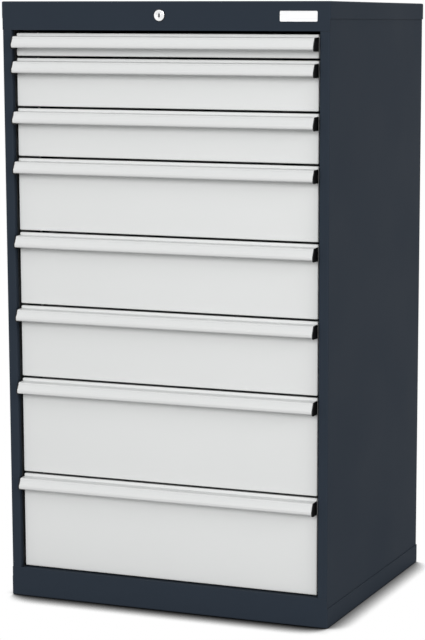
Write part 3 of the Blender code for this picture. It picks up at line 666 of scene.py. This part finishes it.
def handle_profile(number, finish):
    """Extruded profile: shelf, slanted face with the label's groove, belly and returned lip."""
    f = HandleFrame(number)
    top, foot = LABEL_TOP, LABEL_FOOT
    groove = [
        f.on_face(top, 0),
        f.on_face(top, LABEL_LIP),
        f.on_face(top - LABEL_UNDERCUT, LABEL_LIP),
        f.on_face(top - LABEL_UNDERCUT, LABEL_GROOVE),
        f.on_face(foot + LABEL_UNDERCUT, LABEL_GROOVE),
        f.on_face(foot + LABEL_UNDERCUT, LABEL_LIP),
        f.on_face(foot, LABEL_LIP),
        f.on_face(foot, 0),
    ]
    inside = inset(rounded(f.upper() + f.lower()), WALL)
    outline = rounded(f.upper() + groove + f.lower()) + inside[::-1]
    form = bmesh.new()
    prism(form, f.place(outline), 0, f.left + CAP, f.right - CAP)
    name, body = "handle_%d" % number, "drawer_%d" % number
    node = "drawer_%d_handle" % number
    return place_mesh(form, name, finish, body, (node,))


def handle_label(number, finish):
    """Plain label strip, slid into the groove of the face."""
    f = HandleFrame(number)
    top, foot = LABEL_TOP - LABEL_UNDERCUT / 2, LABEL_FOOT + LABEL_UNDERCUT / 2
    spots = [(top, LABEL_LIP), (foot, LABEL_LIP), (foot, LABEL_GROOVE), (top, LABEL_GROOVE)]
    outline = rounded([f.on_face(along, deep) for along, deep in spots])
    form = bmesh.new()
    prism(form, f.place(outline), 0, f.left + CAP, f.right - CAP)
    name, body = "label_%d" % number, "drawer_%d" % number
    return place_mesh(form, name, finish, body)


def handle_cap(number, side, finish):
    """Moulded cap that closes one end of the profile, with rounded edges."""
    f = HandleFrame(number)
    outside = f.reach + CAP_PROUD
    corners = [
        (SEAT, -CAP_PROUD, EDGE_RADIUS),
        (CORNER_REACH + CAP_PROUD, CORNER_DROP - CAP_PROUD, CORNER_RADIUS),
        (outside, BELLY_DROP, BELLY_RADIUS),
        (outside, CAP_FOOT_DROP, CAP_FOOT_RADIUS),
        (SEAT, CAP_FOOT_DROP, EDGE_RADIUS),
    ]
    name, body = "handle_%d_cap_%s" % (number, side), "drawer_%d" % number
    outer, inner = (f.left, f.left + CAP) if side == "left" else (f.right, f.right - CAP)
    form = bmesh.new()
    prism(form, f.place(rounded(corners)), 0, *sorted((outer, inner)))
    rim = [e for e in form.edges if all(abs(v.co.x - outer) < CAP_PROUD for v in e.verts)]
    round_off(form, rim, CAP_EDGE, CAP_EDGE_STEPS, clamped=False)
    return place_mesh(form, name, finish, body)


def front_panel(number, finish):
    """Folded front: rounded edges all round, open at the rear but for a flange down each side."""
    node = "drawer_%d_front" % number
    low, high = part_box(node)
    form = bmesh.new()
    bmesh.ops.create_cube(form, size=1)
    for vert in form.verts:
        vert.co = Vector(b if side > 0 else a for a, b, side in zip(low, high, vert.co))
    rear = [face for face in form.faces if face.calc_center_median().y > high.y - SEAT]
    bmesh.ops.delete(form, geom=rear, context="FACES_ONLY")
    folds = [edge for edge in form.edges if not edge.is_boundary]
    round_off(form, folds, FRONT_RADIUS, FOLD_STEPS, clamped=True)
    name, body = "front_%d" % number, "drawer_%d" % number
    piece = place_mesh(form, name, finish, body, (node,))
    sheet = piece.modifiers.new("sheet", "SOLIDIFY")
    sheet.thickness = FRONT_SHEET
    sheet.offset = -1
    sheet.use_even_offset = True
    return piece


def front_returns(number, finish):
    """The flange down each side of a front, folded inwards at its rear."""
    low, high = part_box("drawer_%d_front" % number)
    form = bmesh.new()
    for edge, inwards in ((low.x, 1), (high.x, -1)):
        near, far = edge + inwards * FRONT_SHEET, edge + inwards * FRONT_RETURN
        corners = [
            (near, high.y - FRONT_SHEET, 0),
            (far, high.y - FRONT_SHEET, EDGE_RADIUS),
            (far, high.y, EDGE_RADIUS),
            (near, high.y, 0),
        ]
        prism(form, rounded(corners), 2, low.z + FRONT_RADIUS, high.z - FRONT_RADIUS)
    name, body = "front_returns_%d" % number, "drawer_%d" % number
    return place_mesh(form, name, finish, body)


# Top band


def badge(finish):
    """Bare plate on the top band, dished inside a raised rim."""
    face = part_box("top_cover")[0].y
    dish = BADGE_THICK - BADGE_DISH
    steps = ((0, 0), (0, BADGE_THICK), (BADGE_RIM, BADGE_THICK), (BADGE_RIM, dish))
    rings = []
    for inner, proud in steps:
        left, right = BADGE_LEFT + inner, BADGE_RIGHT - inner
        foot, top = BADGE_FOOT + inner, BADGE_TOP - inner
        spots = ((left, foot), (right, foot), (right, top), (left, top))
        outline = rounded([(x, z, BADGE_RADIUS - inner) for x, z in spots])
        rings.append([(x, face - proud, z) for x, z in outline])
    form = bmesh.new()
    skin(form, rings)
    piece = place_mesh(form, "badge_plate", finish, "cabinet")
    ease(piece, BADGE_DISH / 2)
    return piece


def turned(axis, steps, profile):
    """Circles about an axis along y, each a radius and a place on that axis."""
    turns = [2 * math.pi * step / steps for step in range(steps)]
    x, z = axis
    return [[(x + r * math.sin(a), y, z + r * math.cos(a)) for a in turns] for r, y in profile]


def lock_axis():
    """The lock's axis as x and z."""
    low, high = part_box("lock_core")
    return (low.x + high.x) / 2, (low.z + high.z) / 2


def lock_housing(finish):
    """Turned escutcheon, a shallow dish inside a rounded rim, with its barrel through the band."""
    low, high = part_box("lock_body")
    core_low, core_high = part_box("lock_core")
    bore = (core_high.x - core_low.x) / 2 + LOCK_CLEARANCE
    barrel = (high.x - low.x) / 2 * BARREL_SHARE
    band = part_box("top_cover")[0].y
    rear, front = high.y, low.y
    profile = [
        (bore, rear),
        (barrel, rear),
        (barrel, band),
        (DISC_RADIUS, band),
        (DISC_RADIUS, front + DISC_EDGE_DROP),
        (DISC_SHOULDER + DISC_ROUND, front + DISC_ROUND_DROP),
        (DISC_SHOULDER, front),
        (DISC_DISH + DISH_SLOPE, front),
        (DISC_DISH, front + DISH_DEPTH),
        (bore, front + DISH_DEPTH),
        (bore, rear),
    ]
    form = bmesh.new()
    skin(form, turned(lock_axis(), LOCK_STEPS, profile), closed=False)
    return place_mesh(form, "lock_housing", finish, "cabinet", ("lock_body",))


def lock_gasket(finish):
    """Dark ring between the escutcheon and the band."""
    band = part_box("top_cover")[0].y
    profile = [
        (DISC_RADIUS, band),
        (GASKET_RADIUS, band),
        (GASKET_RADIUS, band - GASKET_PROUD * GASKET_STRAIGHT),
        (GASKET_RADIUS - GASKET_ROUND, band - GASKET_PROUD),
        (DISC_RADIUS, band - GASKET_PROUD),
    ]
    form = bmesh.new()
    skin(form, turned(lock_axis(), LOCK_STEPS, profile), closed=False)
    return place_mesh(form, "lock_gasket", finish, "cabinet")


def lock_core(finish, inside):
    """Core with an upright keyway sunk into its face; the keyway's walls take near-black rubber as
    painted shade.
    """
    low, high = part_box("lock_core")
    x, z = lock_axis()
    radius = (high.x - low.x) / 2
    outer = [(radius, high.y), (radius, low.y + CORE_EDGE), (radius - CORE_EDGE, low.y)]
    rings = turned((x, z), LOCK_STEPS, outer)
    slot = []
    for place in rings[-1]:
        across, up = place[0] - x, place[2] - z
        to_side = KEY_HALF_WIDTH / max(abs(across), SMALLEST)
        to_end = KEY_HALF_HEIGHT / max(abs(up), SMALLEST)
        scale = min(to_side, to_end)
        slot.append((x + across * scale, z + up * scale))
    for depth in (0.0, KEY_DEPTH):
        rings.append([(px, low.y + depth, pz) for px, pz in slot])
    form = bmesh.new()
    skin(form, rings)
    for face in form.faces:
        middle = face.calc_center_median()
        sunk = low.y + CORE_EDGE < middle.y < low.y + KEY_DEPTH + CORE_EDGE
        if sunk and math.hypot(middle.x - x, middle.z - z) < radius - CORE_EDGE:
            # painted shade: the keyway's walls take the near-black second finish
            face.material_index = 1
    name, nodes = "lock_core_face", ("lock_core",)
    return place_mesh(form, name, finish, "lock_plug", nodes, inside)


def rivets(finish):
    """Domed rivets that hold the back panel to the side panels' rear flanges."""
    form = bmesh.new()
    for name, sign in (("side_panel_left", 1), ("side_panel_right", -1)):
        low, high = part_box(name)
        x = (low.x if sign > 0 else high.x) + sign * RIVET_INSET
        for height in RIVET_PLACES:
            dome = [(RIVET_RADIUS * r, high.y + RIVET_PROUD * y) for r, y in RIVET_DOME]
            skin(form, turned((x, height), RIVET_STEPS, dome))
    return place_mesh(form, "rear_rivets", finish, "cabinet")


def drawers(finish):
    """Every drawer's visible pieces, from the top drawer down."""
    for number in range(1, DRAWERS + 1):
        front_panel(number, finish["light_grey_paint"])
        front_returns(number, finish["light_grey_paint"])
        handle_profile(number, finish["handle_profile"])
        handle_label(number, finish["label_strip"])
        for side in ("left", "right"):
            handle_cap(number, side, finish["cap_plastic"])


# Stage


def camera():
    """Camera at its place, turned by azimuth, elevation and roll."""
    azimuth, elevation = math.radians(CAMERA_AZIMUTH), math.radians(CAMERA_ELEVATION)
    roll = math.radians(CAMERA_ROLL)
    outwards = math.cos(elevation)
    back = Vector(
        (math.sin(azimuth) * outwards, -math.cos(azimuth) * outwards, math.sin(elevation))
    )
    level = Vector((0, 0, 1)).cross(back).normalized()
    upright = back.cross(level)
    right = math.cos(roll) * level + math.sin(roll) * upright
    up = back.cross(right)
    data = bpy.data.cameras.new("camera")
    data.lens = CAMERA_LENS
    data.shift_x, data.shift_y = CAMERA_SHIFT
    data.clip_start, data.clip_end = CAMERA_CLIP
    made = bpy.data.objects.new("camera", data)
    bpy.context.scene.collection.objects.link(made)
    turn = Matrix((right, up, back)).transposed().to_4x4()
    made.matrix_world = Matrix.Translation(CAMERA_PLACE) @ turn
    bpy.context.scene.camera = made


def seen_directly(tree):
    """One for rays from the camera, from gloss and through glass, which see the pale background."""
    path = tree.add("LightPath").outputs
    seen = tree.math("ADD", path["Is Camera Ray"], path["Is Glossy Ray"], clamp=True)
    return tree.math("ADD", seen, path["Is Transmission Ray"], clamp=True)


def world():
    """Even studio light, seen as a white background."""
    made = bpy.data.worlds.new("studio")
    made.use_nodes = True
    tree = Tree(made.node_tree)
    made.node_tree.nodes.clear()
    shown = tree.add("Background", {"Color": WHITE, "Strength": 1.0})
    lit = tree.add("Background", {"Color": WHITE, "Strength": WORLD_LEVEL})
    sides = {0: seen_directly(tree), 1: lit.outputs[0], 2: shown.outputs[0]}
    tree.add("OutputWorld", {0: tree.add("MixShader", sides).outputs[0]})
    bpy.context.scene.world = made


def lamp(name, place, size, power):
    """Round soft lamp, aimed at the middle of the front."""
    data = bpy.data.lights.new(name, "AREA")
    data.shape = "DISK"
    data.size = size
    data.energy = power
    made = bpy.data.objects.new(name, data)
    bpy.context.scene.collection.objects.link(made)
    made.location = place
    aim = Vector(LAMP_AIM) - Vector(place)
    made.rotation_euler = aim.to_track_quat("-Z", "Y").to_euler()


def floor_finish():
    """Pale floor: it lights the cabinet as a plain floor, and shows white with a soft shadow."""
    made = bpy.data.materials.new("pale_floor")
    made.use_nodes = True
    tree = Tree(made.node_tree)
    made.node_tree.nodes.clear()
    across = tree.add("SeparateXYZ", {0: tree.place()}).outputs["X"]
    outwards = tree.span(across, CAD_BOX[0][0], CAD_BOX[1][0], *CONTACT_SIDES)
    leaning = tree.add("CombineXYZ", {0: outwards, 1: CONTACT_LEAN, 2: 1.0}).outputs[0]
    inputs = {"Distance": CONTACT_REACH, "Normal": leaning}
    near = tree.add("AmbientOcclusion", inputs, samples=CONTACT_SAMPLES).outputs["AO"]
    shade = tree.math("POWER", tree.span(near, CONTACT_DARK, CONTACT_CLEAR), CONTACT_CURVE)
    grey = tree.add("CombineColor", {0: shade, 1: shade, 2: shade}).outputs[0]
    shown = tree.add("Emission", {"Color": grey})
    lit = tree.add("BsdfDiffuse", {"Color": FLOOR_COLOUR})
    sides = {0: seen_directly(tree), 1: lit.outputs[0], 2: shown.outputs[0]}
    tree.add("OutputMaterial", {0: tree.add("MixShader", sides).outputs[0]})
    return made


def floor():
    """Flat floor round the cabinet's foot."""
    form = bmesh.new()
    bmesh.ops.create_grid(form, x_segments=1, y_segments=1, size=FLOOR_HALF)
    mesh = bpy.data.meshes.new("floor")
    form.to_mesh(mesh)
    form.free()
    mesh.materials.append(floor_finish())
    made = bpy.data.objects.new("floor", mesh)
    bpy.context.scene.collection.objects.link(made)


def dress_nodes(finish):
    """Every CAD node takes the finish of its own material slot."""
    slots = {row["node"]: row["material_slot"] for row in frame["record"]["subparts"]}
    for name, node in frame["nodes"].items():
        for slot in node.material_slots:
            slot.material = finish[slots[name]]
        ease(node, NODE_EDGE)


def main():
    effects()
    finish = finishes()
    camera()
    world()
    lamp("key", KEY_PLACE, KEY_SIZE, KEY_POWER)
    lamp("fill", FILL_PLACE, FILL_SIZE, FILL_POWER)
    floor()
    dress_nodes(finish)
    drawers(finish)
    badge(finish["badge_metal"])
    lock_housing(finish["chrome"])
    lock_gasket(finish["gasket_rubber"])
    # the gasket rubber lines the keyway as painted shade
    lock_core(finish["chrome"], finish["gasket_rubber"])
    rivets(finish["anthracite_paint"])


bpy.context.scene.view_settings.view_transform = "Standard"
main()
